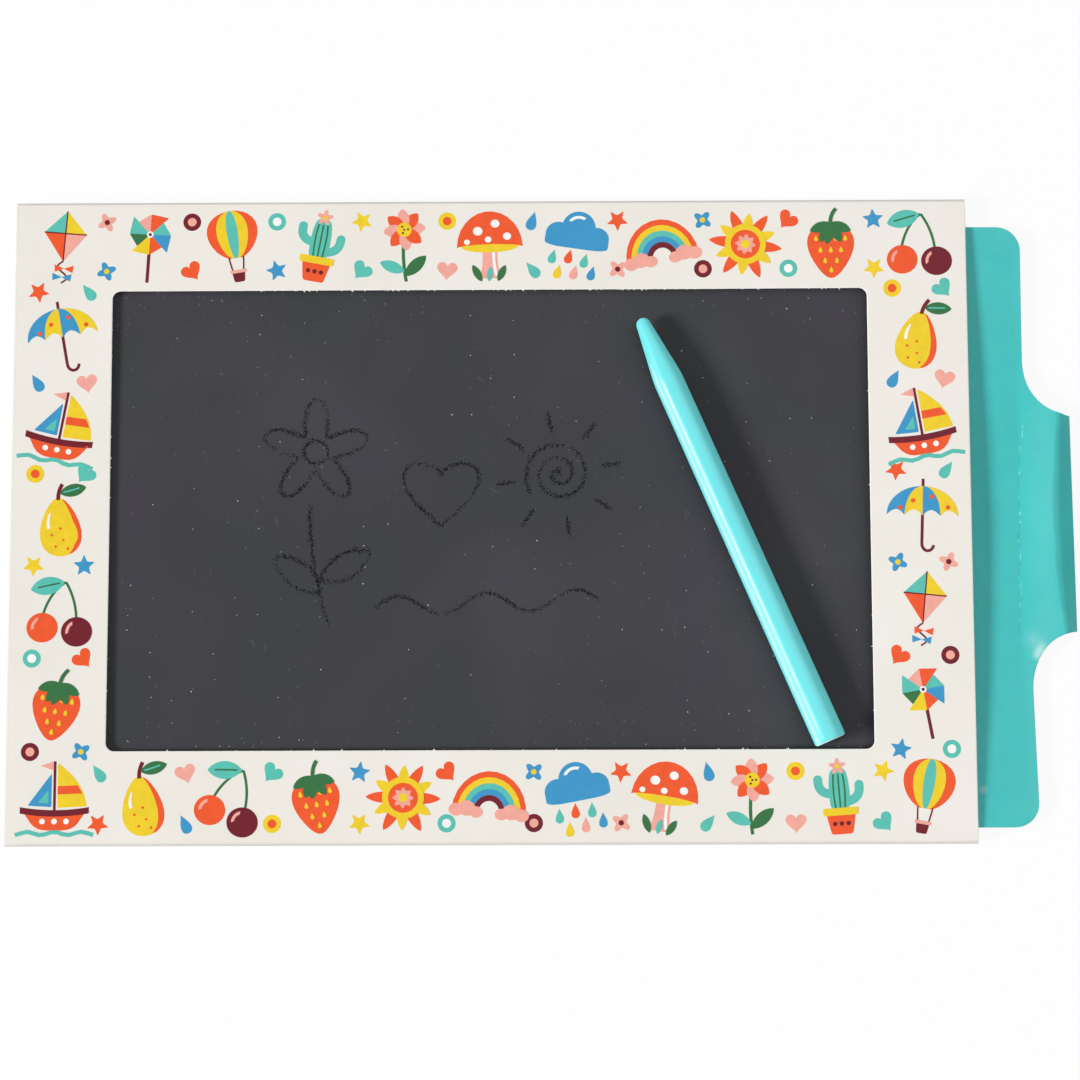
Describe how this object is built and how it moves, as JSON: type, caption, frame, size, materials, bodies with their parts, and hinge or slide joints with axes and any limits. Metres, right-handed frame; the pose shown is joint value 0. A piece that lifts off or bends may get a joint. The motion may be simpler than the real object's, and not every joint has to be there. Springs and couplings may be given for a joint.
{
  "type": "slide-wipe drawing slate",
  "caption": "Flat card sleeve with a window onto a grey writing film over wax, wiped by pulling a folded card slide past a bar, with a loose tapered stylus.",
  "frame": {"origin": "centre of the sleeve's flat back, which it lies on", "axes": "+X towards the pull tab, +Y towards the sleeve's upper edge, +Z out of the drawing face"},
  "size_m": [0.279, 0.17, 0.0115],
  "materials": {
    "printed_card": "satin",
    "plain_card": "matte",
    "greyboard": "matte",
    "wiper_plastic": "satin",
    "slide_card": "satin",
    "waxed_paper": "satin",
    "tape": "satin",
    "writing_film": "satin",
    "stylus_plastic": "gloss"
  },
  "bodies": {
    "sleeve": {"front_cover": "printed_card", "back_panel": "plain_card", "upper_rail": "greyboard", "lower_rail": "greyboard", "end_rail": "greyboard", "wiper_bar": "wiper_plastic"},
    "slide": {"slide_card": "slide_card", "waxed_sheet": "waxed_paper", "stop_strip": "greyboard", "film_tape_left": "tape", "film_tape_right": "tape", "writing_film": "writing_film"},
    "stylus": {"stylus": "stylus_plastic"}
  },
  "joints": [
    {"name": "slide_pull", "type": "slide", "parent": "sleeve", "child": "slide", "axis": [1, 0, 0], "range_m": [-0.01, 0.21]},
    {"name": "stylus_lift", "type": "slide", "parent": "sleeve", "child": "stylus", "axis": [0, 0, 1], "range_m": [0, 0.1]}
  ]
}
